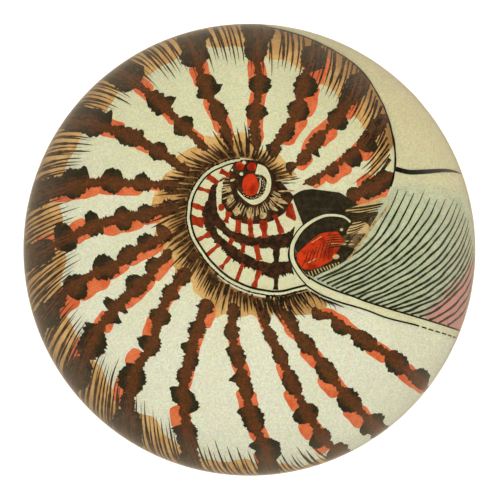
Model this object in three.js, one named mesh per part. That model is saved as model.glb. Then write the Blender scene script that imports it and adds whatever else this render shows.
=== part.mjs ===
// A glass dome paperweight: a clear domed glass with a printed sheet glued to its flat underside
// and a felt pad under the sheet. Millimetres, +Z up. The origin is the centre of the pad's
// underside, and +Y is the top of the printed picture.
import * as THREE from "three";

// Driving dimensions.
const DOME_DIAMETER = 88.9; // three and a half inches
const CROWN_HEIGHT = 24.5; // from the top of the girdle to the crown
const GIRDLE_HEIGHT = 0.9; // upright edge between the bevel and the curve
const BEVEL = 0.5; // ground arris round the flat underside
const SHEET_THICKNESS = 0.25;
const SHEET_INSET = 0.25; // the sheet is trimmed just inside the bevel
const PAD_THICKNESS = 2.0;
const PAD_INSET = 1.2; // from the sheet's edge to the pad's
const PAD_EDGE_ROUND = 0.4;

// How finely the round shapes are faceted.
const SIDES = 96;
const CROWN_STEPS = 22;
const PAD_ROUND_STEPS = 3;

// What follows from them.
const domeRadius = DOME_DIAMETER / 2;
const flatRadius = domeRadius - BEVEL;
const sheetRadius = flatRadius - SHEET_INSET;
const padRadius = sheetRadius - PAD_INSET;
const sheetBottom = PAD_THICKNESS;
const domeBottom = sheetBottom + SHEET_THICKNESS;
const girdleTop = BEVEL + GIRDLE_HEIGHT; // above the dome's own flat

// A point of a quarter ellipse, from its widest place (turn 0) to its top (turn 1).
function ellipsePoint(radius, height, turn) {
  const angle = (turn * Math.PI) / 2;
  return [radius * Math.cos(angle), height * Math.sin(angle)];
}

// Turns a profile of [radius, z] points, listed from the lower end of the axis to the upper end.
function turned(profile) {
  const points = profile.map(([radius, z]) => new THREE.Vector2(radius, z));
  return new THREE.LatheGeometry(points, SIDES).rotateX(Math.PI / 2);
}

// Clear glass: flat underside, ground bevel, short girdle and a half-ellipse crown.
function domeGeometry() {
  const profile = [
    [0, 0],
    [flatRadius, 0],
    [domeRadius, BEVEL],
  ];
  for (let step = 0; step < CROWN_STEPS; step += 1) {
    const [radius, rise] = ellipsePoint(domeRadius, CROWN_HEIGHT, step / CROWN_STEPS);
    profile.push([radius, girdleTop + rise]);
  }
  profile.push([0, girdleTop + CROWN_HEIGHT]);
  return turned(profile);
}

// The printed sheet is a plain disc of thick paper.
function sheetGeometry() {
  return turned([
    [0, 0],
    [sheetRadius, 0],
    [sheetRadius, SHEET_THICKNESS],
    [0, SHEET_THICKNESS],
  ]);
}

// The felt pad has a softly rounded lower edge.
function padGeometry() {
  const profile = [[0, 0]];
  for (let step = 0; step <= PAD_ROUND_STEPS; step += 1) {
    const angle = ((step / PAD_ROUND_STEPS) * Math.PI) / 2;
    profile.push([
      padRadius - PAD_EDGE_ROUND * (1 - Math.sin(angle)),
      PAD_EDGE_ROUND * (1 - Math.cos(angle)),
    ]);
  }
  profile.push([padRadius, PAD_THICKNESS]);
  profile.push([0, PAD_THICKNESS]);
  return turned(profile);
}

// One named piece of the paperweight, standing at its own height.
function piece(name, geometry, material, bottom) {
  const mesh = new THREE.Mesh(geometry, material);
  mesh.name = name;
  mesh.position.z = bottom;
  return mesh;
}

const clearGlass = new THREE.MeshStandardMaterial({ color: 0xeef2ec, roughness: 0.03, metalness: 0 });
const printedPaper = new THREE.MeshStandardMaterial({ color: 0xcfcca6, roughness: 0.75, metalness: 0 });
const woolFelt = new THREE.MeshStandardMaterial({ color: 0x2c3a2c, roughness: 0.95, metalness: 0 });

const paperweight = new THREE.Group();
paperweight.add(
  piece("felt_pad", padGeometry(), woolFelt, 0),
  piece("printed_sheet", sheetGeometry(), printedPaper, sheetBottom),
  piece("glass_dome", domeGeometry(), clearGlass, domeBottom),
);

export default paperweight;
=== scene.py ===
"""A clear glass dome paperweight: a felt pad, a printed sheet with a hand-coloured shell, and the dome."""

import logging
import math
from collections.abc import Callable, Sequence
from dataclasses import dataclass, field
from enum import Enum

import bmesh
import bpy
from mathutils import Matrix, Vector
from mathutils.noise import cell, noise as perlin


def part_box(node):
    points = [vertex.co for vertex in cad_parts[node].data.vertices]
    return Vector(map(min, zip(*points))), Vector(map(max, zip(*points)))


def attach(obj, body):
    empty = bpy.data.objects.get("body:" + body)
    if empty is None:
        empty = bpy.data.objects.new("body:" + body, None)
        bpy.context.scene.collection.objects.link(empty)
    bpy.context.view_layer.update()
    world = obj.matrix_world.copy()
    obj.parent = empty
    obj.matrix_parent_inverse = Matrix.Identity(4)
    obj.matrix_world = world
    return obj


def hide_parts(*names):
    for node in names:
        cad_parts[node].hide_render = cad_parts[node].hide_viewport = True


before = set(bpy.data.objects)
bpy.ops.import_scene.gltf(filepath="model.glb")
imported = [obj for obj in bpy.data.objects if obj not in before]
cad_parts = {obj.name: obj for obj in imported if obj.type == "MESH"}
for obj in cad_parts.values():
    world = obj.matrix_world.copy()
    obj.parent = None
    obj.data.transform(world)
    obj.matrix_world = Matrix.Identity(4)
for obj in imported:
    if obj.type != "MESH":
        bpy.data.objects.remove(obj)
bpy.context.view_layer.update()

log = logging.getLogger("paperweight")
MM = 0.001
Point = tuple[float, float]
Width = Callable[[float], float]
Hold = Callable[[Vector], Vector]


# ---------------------------------------------------------------------------------------------- shaders

def linear(code: str) -> tuple[float, float, float, float]:
    """Turns a colour written as #rrggbb into linear light.

    Args:
        code: The colour, as on a paint chart.

    Returns:
        Red, green, blue and full opacity.
    """
    parts = [int(code[i:i + 2], 16) / 255 for i in (1, 3, 5)]
    return (*(c / 12.92 if c <= 0.04045 else ((c + 0.055) / 1.055) ** 2.4 for c in parts), 1.0)


class Num:
    """A number in a node tree that takes part in ordinary arithmetic."""

    def __init__(self, shader: "Nodes", socket: bpy.types.NodeSocket) -> None:
        """Wraps one output socket of the shader's tree."""
        self.shader = shader
        self.socket = socket

    def _with(self, operation: str, *values: "Num | float") -> "Num":
        """Adds one Math node."""
        return self.shader.maths(operation, *values)

    def __add__(self, other: "Num | float") -> "Num":
        """Sum."""
        return self._with("ADD", self, other)

    def __sub__(self, other: "Num | float") -> "Num":
        """Difference."""
        return self._with("SUBTRACT", self, other)

    def __rsub__(self, other: float) -> "Num":
        """A plain number less this one."""
        return self._with("SUBTRACT", other, self)

    def __mul__(self, other: "Num | float") -> "Num":
        """Product."""
        return self._with("MULTIPLY", self, other)

    def __pow__(self, other: float) -> "Num":
        """Power."""
        return self._with("POWER", self, other)

    __radd__ = __add__
    __rmul__ = __mul__

    def clamp(self) -> "Num":
        """Keeps the number between 0 and 1."""
        return self.shader.wrap(self.shader.node("ShaderNodeClamp", Value=self).outputs[0])

    def step(self, low: float, high: float) -> "Num":
        """A smooth rise from 0 at low to 1 at high.

        Args:
            low: Where the rise starts.
            high: Where it is complete. It may be less than low, for a fall.

        Returns:
            The eased number.
        """
        made = self.shader.node(
            "ShaderNodeMapRange", {"interpolation_type": "SMOOTHSTEP"},
            Value=self, **{"From Min": low, "From Max": high})
        return self.shader.wrap(made.outputs[0])


Input = Num | bpy.types.NodeSocket | float | tuple | Vector


class Nodes:
    """A node tree and the few ways in which nodes are added to it."""

    def __init__(self, tree: bpy.types.NodeTree) -> None:
        """Takes a tree and empties it."""
        self.tree = tree
        self.tree.nodes.clear()

    def wrap(self, socket: bpy.types.NodeSocket) -> Num:
        """Gives a socket its arithmetic."""
        return Num(self, socket)

    def node(self, kind: str, settings: dict | None = None, **sockets: Input) -> bpy.types.Node:
        """Adds any node.

        Args:
            kind: The node's type.
            settings: Its own settings, set first.
            **sockets: Values or links for its inputs, by name.

        Returns:
            The new node.
        """
        made = self.tree.nodes.new(kind)
        for key, value in (settings or {}).items():
            setattr(made, key, value)
        for key, value in sockets.items():
            self.feed(made, key, value)
        return made

    def feed(self, node: bpy.types.Node, key: str | int, value: Input) -> None:
        """Sets or links one input of a node.

        Args:
            node: The node.
            key: The input's name or number.
            value: A number, a colour, a vector, or what is linked in.
        """
        if isinstance(value, Num):
            value = value.socket
        if isinstance(value, bpy.types.NodeSocket):
            self.tree.links.new(value, node.inputs[key])
        else:
            node.inputs[key].default_value = value

    def maths(self, operation: str, *values: Num | float) -> Num:
        """Adds a Math node.

        Args:
            operation: What it works out.
            *values: Its one, two or three numbers.

        Returns:
            The result.
        """
        made = self.node("ShaderNodeMath", {"operation": operation})
        for place, value in enumerate(values):
            self.feed(made, place, value)
        return self.wrap(made.outputs[0])

    def mix(self, factor: Num | float, low: Input, high: Input, way: str = "MIX") -> bpy.types.NodeSocket:
        """Blends two colours.

        Args:
            factor: How much of the second one.
            low: The first colour.
            high: The second colour.
            way: The kind of blend.

        Returns:
            The blended colour.
        """
        made = self.node("ShaderNodeMix", {"data_type": "RGBA", "blend_type": way})
        for place, value in ((0, factor), (6, low), (7, high)):
            self.feed(made, place, value)
        return made.outputs[2]

    def place(self) -> bpy.types.NodeSocket:
        """The point on the object in millimetres."""
        where = self.node("ShaderNodeTexCoord").outputs["Object"]
        made = self.node("ShaderNodeVectorMath", {"operation": "SCALE"}, Vector=where, Scale=1 / MM)
        return made.outputs[0]

    def axes(self, vector: bpy.types.NodeSocket) -> tuple[Num, Num, Num]:
        """The three numbers of a vector."""
        made = self.node("ShaderNodeSeparateXYZ", Vector=vector)
        return tuple(self.wrap(out) for out in made.outputs)

    def noise(self, vector: Input, scale: float, detail: float = 2.0, rough: float = 0.5) -> Num:
        """Cloudy noise between 0 and 1.

        Args:
            vector: The point it is read at.
            scale: How many clouds to a unit of that point.
            detail: How many finer octaves lie on it.
            rough: How strong those octaves are.

        Returns:
            The noise.
        """
        made = self.node("ShaderNodeTexNoise", None, Vector=vector, Scale=scale, Detail=detail,
                         Roughness=rough)
        return self.wrap(made.outputs[0])

    def along(self, name: str) -> tuple[Num, Num]:
        """The two numbers of a named map of the surface."""
        made = self.node("ShaderNodeUVMap", {"uv_map": name})
        across = self.axes(made.outputs[0])
        return across[0], across[1]

    def bump(self, height: Num, depth: float) -> bpy.types.NodeSocket:
        """A fine relief.

        Args:
            height: The relief, from 0 to 1.
            depth: How tall it is in metres.

        Returns:
            The bent normal.
        """
        made = self.node("ShaderNodeBump", None, Strength=1.0, Distance=depth, Height=height)
        return made.outputs[0]


class Shader(Nodes):
    """One material with one Principled surface."""

    def __init__(self, name: str) -> None:
        """Makes the material."""
        self.material = bpy.data.materials.new(name)
        self.material.use_nodes = True
        super().__init__(self.material.node_tree)
        self.output = self.tree.nodes.new("ShaderNodeOutputMaterial")
        self.surface = self.node("ShaderNodeBsdfPrincipled")
        self.tree.links.new(self.surface.outputs[0], self.output.inputs["Surface"])


# --------------------------------------------------------------------------------------------- finishes

@dataclass(frozen=True)
class ClearGlass:
    """Clear soda-lime glass with the faint green of its thickness."""

    index: float = 1.5
    tint: str = "#eef6ee"
    density: float = 3.0

    def material(self) -> bpy.types.Material:
        """Makes the glass."""
        shader = Shader("clear_glass")
        for key, value in (("Base Color", (1, 1, 1, 1)), ("Roughness", 0.0), ("IOR", self.index),
                           ("Transmission Weight", 1.0)):
            shader.feed(shader.surface, key, value)
        depth = shader.node("ShaderNodeVolumeAbsorption", None, Color=linear(self.tint), Density=self.density)
        shader.tree.links.new(depth.outputs[0], shader.output.inputs["Volume"])
        return shader.material


class Tone(Enum):
    """The colours laid on the sheet, as they look under the glass."""

    CREAM = "#dbdbb4"
    PALE = "#e3e5cc"
    TAN = "#cdb984"
    OCHRE = "#c8944e"
    HONEY = "#e2b876"
    BROWN = "#94683a"
    GREEN = "#bac3a2"
    ROSE = "#d4958a"
    SALMON = "#e27a4c"
    CORAL = "#d45c30"
    BRICK = "#a8381a"
    VERMILION = "#d03c18"
    BLOOD = "#7c1c0a"
    RUST = "#6e3a20"
    UMBER = "#4e341b"
    SOOT = "#2e2919"


@dataclass(frozen=True)
class Paper:
    """Cream wove paper, paler towards the lower left and tanner towards the upper right, with a faint
    cloudiness, a fine speckle and painted shade darkening it towards the rim.
    """

    name: str = "printed_paper"
    gain: float = 0.64

    def ground(self, shader: Shader) -> bpy.types.NodeSocket:
        """The paper's colour.

        Args:
            shader: The material it goes in.

        Returns:
            The colour.
        """
        here = shader.place()
        x, y, _ = shader.axes(here)
        cloud = shader.noise(here, 0.07, 3.0, 0.6)
        # The ground turns paler towards the lower left.
        paler_lower_left = (cloud * 0.9 - y * 0.012 - x * 0.004).step(0.2, 0.75)
        base = shader.mix(paler_lower_left, linear(Tone.CREAM.value), linear(Tone.PALE.value))
        corner = ((x + y) * 0.02 + cloud * 0.5).step(0.75, 1.35)
        base = shader.mix(corner * 0.45, base, linear(Tone.TAN.value))
        spots = shader.noise(here, 0.8, 4.0, 0.7).step(0.52, 0.8)
        return self.speckle_and_rim_shade(shader, shader.mix(spots * 0.25, base, linear(Tone.TAN.value)), 0.5)

    def speckle_and_rim_shade(self, shader: Shader, colour: Input, depth: float) -> bpy.types.NodeSocket:
        """Adds the fine speckle of old printed paper, a little different in each primary, and darkens it
        towards the sheet's rim as painted shade.

        Args:
            shader: The material.
            colour: The colour under it.
            depth: How strong the speckle is.

        Returns:
            The speckled colour.
        """
        speck = shader.node("ShaderNodeTexNoise", None, Vector=shader.place(), Scale=3.2, Detail=2.0,
                            Roughness=0.75)
        x, y, _ = shader.axes(shader.place())
        # Painted shade: every colour darkens by up to 0.55 from 39.4 to 43.7 mm out, in place of the light
        # that falls off under the dome's edge.
        painted_rim_shade = 1 - ((x * x + y * y) ** 0.5).step(39.4, 43.7) * 0.55
        even = (shader.noise(shader.place(), 4.1, 2.0, 0.6) * depth * 1.5 + (1 - depth * 0.75)) * painted_rim_shade
        tint = shader.node("ShaderNodeVectorMath", {"operation": "MULTIPLY_ADD"})
        for place, value in ((0, speck.outputs["Color"]), (1, (depth, depth, depth * 1.2)),
                             (2, tuple(self.gain * (1 - d / 2) for d in (depth, depth, depth * 1.2)))):
            shader.feed(tint, place, value)
        grey = shader.node("ShaderNodeCombineColor", None, Red=even, Green=even, Blue=even)
        full = shader.mix(1.0, tint.outputs[0], grey.outputs[0], "MULTIPLY")
        return shader.mix(1.0, colour, full, "MULTIPLY")

    def finish(self, shader: Shader, colour: bpy.types.NodeSocket) -> bpy.types.Material:
        """Puts a colour on the matte sheet.

        Args:
            shader: The material.
            colour: The colour.

        Returns:
            The finished material.
        """
        shader.feed(shader.surface, "Base Color", colour)
        shader.feed(shader.surface, "Roughness", 0.8)
        shader.feed(shader.surface, "Specular IOR Level", 0.0)
        return shader.material

    def material(self) -> bpy.types.Material:
        """Makes the bare paper."""
        shader = Shader(self.name)
        return self.finish(shader, self.ground(shader))


@dataclass(frozen=True)
class Wash(Paper):
    """A brushed watercolour wash that pools darker here and there, and may deepen towards one edge."""

    name: str = "wash"
    light: Tone = Tone.SALMON
    deep: Tone = Tone.CORAL
    edge: Tone | None = None
    pooling: float = 0.5
    size: float = 0.5

    def material(self) -> bpy.types.Material:
        """Makes the wash."""
        shader = Shader(self.name)
        pool = shader.noise(shader.place(), self.size, 3.0, 0.65).step(0.38, 0.66)
        colour = shader.mix(pool * self.pooling, linear(self.light.value), linear(self.deep.value))
        if self.edge:
            _, across = shader.along("Along")
            streak = shader.noise(shader.place(), 1.6, 3.0, 0.7)
            near = (across + streak * 1.2 - 0.6).step(-0.9, 1.0)
            colour = shader.mix(near * 0.85, colour, linear(self.edge.value))
        return self.finish(shader, self.speckle_and_rim_shade(shader, colour, 0.5))


@dataclass(frozen=True)
class LiningWash(Paper):
    """The pale green of the shell's lining, fading up into bare paper and down into rose."""

    name: str = "lining_wash"

    def material(self) -> bpy.types.Material:
        """Makes the wash."""
        shader = Shader(self.name)
        here = shader.place()
        x, y, _ = shader.axes(here)
        drift = shader.noise(here, 0.3, 3.0, 0.6)
        cover = (y + x * 0.12 + drift * 2.4).step(17.4, 14.2)
        patch = shader.noise(here, 0.5, 3.0, 0.65).step(0.35, 0.68)
        green = shader.mix(patch * 0.5, linear(Tone.GREEN.value), linear(Tone.CREAM.value))
        rose = (x - y + drift * 3.0).step(42.2, 45.4)
        tinted = shader.mix(rose, green, linear(Tone.ROSE.value))
        return self.finish(shader, shader.mix(cover, self.ground(shader), self.speckle_and_rim_shade(shader, tinted, 0.5)))


@dataclass(frozen=True)
class BandInk(Paper):
    """The dark bands: hatched ink that is red-brown down the middle and sooty at the blobs' edges."""

    name: str = "band_ink"
    warmth: float = 0.55

    def material(self) -> bpy.types.Material:
        """Makes the ink."""
        shader = Shader(self.name)
        _, across = shader.along("Along")
        here = shader.place()
        edge = shader.maths("ABSOLUTE", across)
        cloud = shader.noise(here, 0.45, 4.0, 0.7)
        sooty = (edge * 0.5 + cloud * 2.2).step(1.3, 1.95)
        fleck = shader.noise(here, 1.3, 4.0, 0.8).step(0.42, 0.58)
        warm = shader.mix(fleck * self.warmth, linear(Tone.UMBER.value), linear(Tone.RUST.value))
        thin = shader.noise(here, 0.45, 5.0, 0.8).step(0.56, 0.68)
        warm = shader.mix(thin * self.warmth, warm, linear(Tone.BRICK.value))
        colour = shader.mix(sooty, warm, linear(Tone.SOOT.value))
        return self.finish(shader, self.speckle_and_rim_shade(shader, colour, 1.1))


@dataclass(frozen=True)
class LineInk(Paper):
    """Engraver's ink in fine lines, with a little paper showing through."""

    name: str = "line_ink"
    light: str = "#5c4022"
    dark: str = "#2a1e10"

    def material(self) -> bpy.types.Material:
        """Makes the ink."""
        shader = Shader(self.name)
        worn = shader.noise(shader.place(), 1.1, 4.0, 0.75).step(0.4, 0.66)
        colour = shader.mix(worn, linear(self.dark), linear(self.light))
        return self.finish(shader, self.speckle_and_rim_shade(shader, colour, 0.9))


@dataclass(frozen=True)
class WoolFelt:
    """Pressed wool felt with crossing fibres."""

    body: str = "#23402c"
    pale: str = "#4a6a4e"

    def material(self) -> bpy.types.Material:
        """Makes the felt."""
        shader = Shader("wool_felt")
        here = shader.place()
        strands = [shader.node("ShaderNodeMapping", None, Vector=here, Rotation=(0.0, 0.0, turn),
                               Scale=(0.8, 7.0, 5.0)).outputs[0] for turn in (0.3, 1.4, 2.5)]
        fibre = sum((shader.noise(strand, 1.0, 3.0, 0.6) for strand in strands[1:]),
                    shader.noise(strands[0], 1.0, 3.0, 0.6)) * (1 / len(strands))
        cloud = shader.noise(here, 0.22, 3.0, 0.6)
        shade = (fibre.step(0.4, 0.62) * 0.8 + cloud * 0.3).clamp()
        colour = shader.mix(shade, linear(self.body), linear(self.pale))
        shader.feed(shader.surface, "Base Color", colour)
        shader.feed(shader.surface, "Roughness", 0.95)
        shader.feed(shader.surface, "Sheen Weight", 0.35)
        shader.feed(shader.surface, "Normal", shader.bump(fibre, 0.35 * MM))
        return shader.material


# -------------------------------------------------------------------------------------- lines and shapes

class Trail:
    """A smooth line on the sheet through a few points, measured along its length in millimetres."""

    def __init__(self, points: Sequence[Point], fine: int = 16) -> None:
        """Runs a rounded curve through the points."""
        knots = [Vector(p) for p in points]
        knots = [2 * knots[0] - knots[1], *knots, 2 * knots[-1] - knots[-2]]
        self.line = [knots[1]]
        for a, b, c, d in zip(knots, knots[1:], knots[2:], knots[3:]):
            for k in range(1, fine + 1):
                t = k / fine
                self.line.append(0.5 * (2 * b + (c - a) * t + (2 * a - 5 * b + 4 * c - d) * t * t
                                        + (3 * b - a - 3 * c + d) * t ** 3))
        self.marks = [0.0]
        for a, b in zip(self.line, self.line[1:]):
            self.marks.append(self.marks[-1] + (b - a).length)
        self.length = self.marks[-1]

    def _span(self, s: float) -> int:
        """The stretch of the line that a distance falls in."""
        low, high = 0, len(self.marks) - 2
        while low < high:
            middle = (low + high + 1) // 2
            low, high = (middle, high) if self.marks[middle] <= s else (low, middle - 1)
        return low

    def point(self, s: float) -> Vector:
        """The point at a distance along the line, which runs on straight past both ends."""
        k = self._span(s)
        part = (s - self.marks[k]) / (self.marks[k + 1] - self.marks[k])
        return self.line[k].lerp(self.line[k + 1], part)

    def normal(self, s: float) -> Vector:
        """The direction to the left of the line there."""
        way = (self.point(s + 0.3) - self.point(s - 0.3)).normalized()
        return Vector((-way.y, way.x))

    def part(self, fraction: float) -> Vector:
        """The point at a fraction of the length."""
        return self.point(self.length * fraction)

    def beside(self, reach: float) -> "Trail":
        """A line that runs at a distance to the left of this one."""
        count = max(2, round(self.length / 0.8))
        return Trail([self.part(k / count) + self.normal(self.length * k / count) * reach
                      for k in range(count + 1)], 4)


def wobble(s: float, seed: float, pitch: float) -> float:
    """Smooth repeatable noise along a line.

    Args:
        s: The distance along it.
        seed: Which line it is.
        pitch: The length of one wave.

    Returns:
        A number between about -1 and 1.
    """
    return 2 * perlin(Vector((s / pitch, seed * 7.31, seed * 1.7)))


def hump(u: float) -> float:
    """The rounded rise of a blob of ink, 1 in the middle and 0 past its ends."""
    return max(0.0, 1 - u * u) ** 0.5


def teeth(s: float, seed: float, pitch: float) -> float:
    """The uneven points of a hatched edge.

    Args:
        s: The distance along the edge.
        seed: Which edge it is.
        pitch: The usual distance from one point to the next.

    Returns:
        A number from 0 between two points up to at most 1 at the tip of one.
    """
    t = s / pitch + 0.5 * wobble(s, seed, pitch * 2)
    number = math.floor(t)
    tall = abs(cell(Vector((number * 1.37 + 0.5, seed * 3.1, 0.5))))
    return (tall % 1.0) ** 1.5 * max(0.0, 1 - abs(2 * (t - number) - 1)) ** 0.8


class Layer:
    """Flat printed shapes with one finish, in millimetres, each a hair above the last.

    HAIR lifts each shape over the last and SLOPE each vertex over the last, so that none coincide.
    EDGE is how far from the middle the ink may reach, and THINNEST is a ribbon's least width.
    """

    HAIR = 0.0002
    SLOPE = 0.000004
    EDGE = 43.55
    THINNEST = 0.004

    def __init__(self, name: str, lift: float, finish: Paper, hold: Hold) -> None:
        """Starts an empty layer.

        Args:
            name: The piece's name.
            lift: Its height over the bare paper in millimetres.
            finish: What it is printed in.
            hold: What pulls a point back to where the layer may lie.
        """
        self.name = name
        self.lift = lift
        self.finish = finish
        self.hold = hold
        self.mesh = bmesh.new()
        self.along = self.mesh.loops.layers.uv.new("Along")
        self.flat = self.mesh.loops.layers.uv.new("OFBake")
        self.shapes = 0
        self.laid = 0

    def _vertex(self, x: float, y: float) -> bmesh.types.BMVert:
        """A vertex on the current level, kept on the sheet."""
        spot = self.hold(Vector((x, y)))
        if spot.length > self.EDGE:
            spot *= self.EDGE / spot.length
        self.laid = (self.laid + 1) % 1000
        level = self.lift + self.shapes * self.HAIR + self.laid * self.SLOPE
        return self.mesh.verts.new((*spot, level))

    def _face(self, corners: Sequence[bmesh.types.BMVert], marks: Sequence[Point]) -> None:
        """Adds a face that looks up, with its map along the shape."""
        made = self.mesh.faces.new(corners)
        for loop, mark in zip(made.loops, marks):
            loop[self.along].uv = mark
            loop[self.flat].uv = (loop.vert.co.x / 90 + 0.5, loop.vert.co.y / 90 + 0.5)

    def ribbon(self, trail: Trail, left: Width, right: Width, start: float = 0.0,
               end: float | None = None, step: float = 0.14) -> None:
        """Lays a ribbon along a trail, mapped by the distances along it and out from its middle.

        Args:
            trail: The line it follows.
            left: Its reach to the left at each distance.
            right: Its reach to the right.
            start: Where it starts.
            end: Where it ends, or the trail's end.
            step: The length of one piece of it.
        """
        end = trail.length if end is None else end
        count = max(2, round((end - start) / step))
        rungs: list[tuple] = []
        for k in range(count + 1):
            s = start + (end - start) * k / count
            middle, side = trail.point(s), trail.normal(s)
            to_right = right(s)
            to_left = max(left(s), self.THINNEST - to_right)
            edges = (middle + side * to_left, middle - side * to_right)
            if all(e.length > self.EDGE or (self.hold(e) - e).length > 0.01 for e in edges):
                break
            corners = [self._vertex(*edge) for edge in edges]
            rungs.append((*corners, (s, to_left), (s, -to_right)))
        for (a, b, mark_a, mark_b), (c, d, mark_c, mark_d) in zip(rungs, rungs[1:]):
            self._face((a, b, d, c), (mark_a, mark_b, mark_d, mark_c))
        self.shapes += 1

    def stroke(self, trail: Trail, width: Width, start: float = 0.0, end: float | None = None,
               step: float = 0.3) -> None:
        """Draws a pen stroke.

        Args:
            trail: The line it follows.
            width: Its width at each distance.
            start: Where it starts.
            end: Where it ends.
            step: The length of one piece of it.
        """
        self.ribbon(trail, lambda s: width(s) / 2, lambda s: width(s) / 2, start, end, step)

    def patch(self, outline: Sequence[Vector | Point], rough: float = 0.0, pitch: float = 1.0,
              round_it: bool = True) -> None:
        """Fills a closed outline.

        Args:
            outline: Its corners, in order.
            rough: How far the edge wanders.
            pitch: The length of one wander.
            round_it: Whether the outline is rounded through its corners.
        """
        points = [Vector(p) for p in outline]
        if round_it:
            loop = Trail([*points[-2:], *points, *points[:2]], 8)
            count = len(points) * 8
            points = loop.line[16:16 + count]
        if rough:
            trail = Trail([*points, points[0]], 2)
            count = max(12, round(trail.length / 0.2))
            spots = [trail.length * k / count for k in range(count)]
            points = [trail.point(s) + trail.normal(s) * rough * wobble(s, self.shapes + 3.0, pitch)
                      for s in spots]
        turn = sum(a.x * b.y - b.x * a.y for a, b in zip(points, [*points[1:], points[0]]))
        if turn < 0:
            points.reverse()
        corners = [self._vertex(p.x, p.y) for p in points]
        self._face(corners, [(0.0, 0.0)] * len(corners))
        self.shapes += 1

    def strip(self, near: Sequence[Vector], far: Sequence[Vector]) -> None:
        """Fills the strip between two edges that have as many points each.

        Args:
            near: The edge on the left of the way along it.
            far: The edge on the right.
        """
        rungs = [(self._vertex(a.x, a.y), self._vertex(b.x, b.y)) for a, b in zip(near, far)]
        for (a, b), (c, d) in zip(rungs, rungs[1:]):
            self._face((a, b, d, c), ((0.0, 1.0), (0.0, -1.0), (1.0, -1.0), (1.0, 1.0)))
        self.shapes += 1

    def dot(self, x: float, y: float, wide: float, tall: float | None = None, rough: float = 0.0) -> None:
        """Fills a round or oval spot.

        Args:
            x: Its centre, to the right.
            y: Its centre, up the sheet.
            wide: Half its width.
            tall: Half its height, if that differs.
            rough: How far its edge wanders.
        """
        tall = wide if tall is None else tall
        count = 10 if wide < 0.4 else 24
        self.patch([(x + wide * math.cos(k * math.tau / count), y + tall * math.sin(k * math.tau / count))
                    for k in range(count)], rough, wide, False)

    def build(self, parent: bpy.types.Object, level: float) -> bpy.types.Object:
        """Turns the layer into a piece that lies on the sheet.

        Args:
            parent: The sheet.
            level: The height of the bare paper in metres.

        Returns:
            The piece.
        """
        wide = [face for face in self.mesh.faces if len(face.verts) > 4]
        bmesh.ops.triangulate(self.mesh, faces=wide, ngon_method="EAR_CLIP")
        bmesh.ops.scale(self.mesh, vec=(MM, MM, MM), verts=self.mesh.verts)
        bmesh.ops.translate(self.mesh, vec=(0, 0, level), verts=self.mesh.verts)
        piece = as_piece(self.name, self.mesh, self.finish.material())
        piece.parent = parent
        return piece


def as_piece(name: str, mesh: bmesh.types.BMesh, material: bpy.types.Material) -> bpy.types.Object:
    """Makes a scene object from a finished mesh.

    Args:
        name: The piece's name.
        mesh: Its mesh, which is used up.
        material: Its finish.

    Returns:
        The object, linked into the scene.
    """
    data = bpy.data.meshes.new(name)
    mesh.to_mesh(data)
    mesh.free()
    data.materials.append(material)
    piece = bpy.data.objects.new(name, data)
    bpy.context.scene.collection.objects.link(piece)
    log.info("%s: %d faces", name, len(data.polygons))
    return piece


# ---------------------------------------------------------------------------------- the drawn shell

@dataclass(frozen=True)
class Band:
    """One dark band from the inner whorls out to the shell's margin.

    Blobs are (place, half length, left reach, right reach) and washes are (from, to, reach), in
    millimetres along and across the band. A wash reaches left where it is positive.
    """

    root: Point
    path: tuple[Point, ...]
    blobs: tuple[tuple[float, float, float, float], ...]
    washes: tuple[tuple[float, float, float], ...]
    ragged: float = 0.3
    start: float = -1.5
    core: float = 0.62

    def trail(self) -> Trail:
        """The band's middle line."""
        return Trail(self.path)


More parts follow.
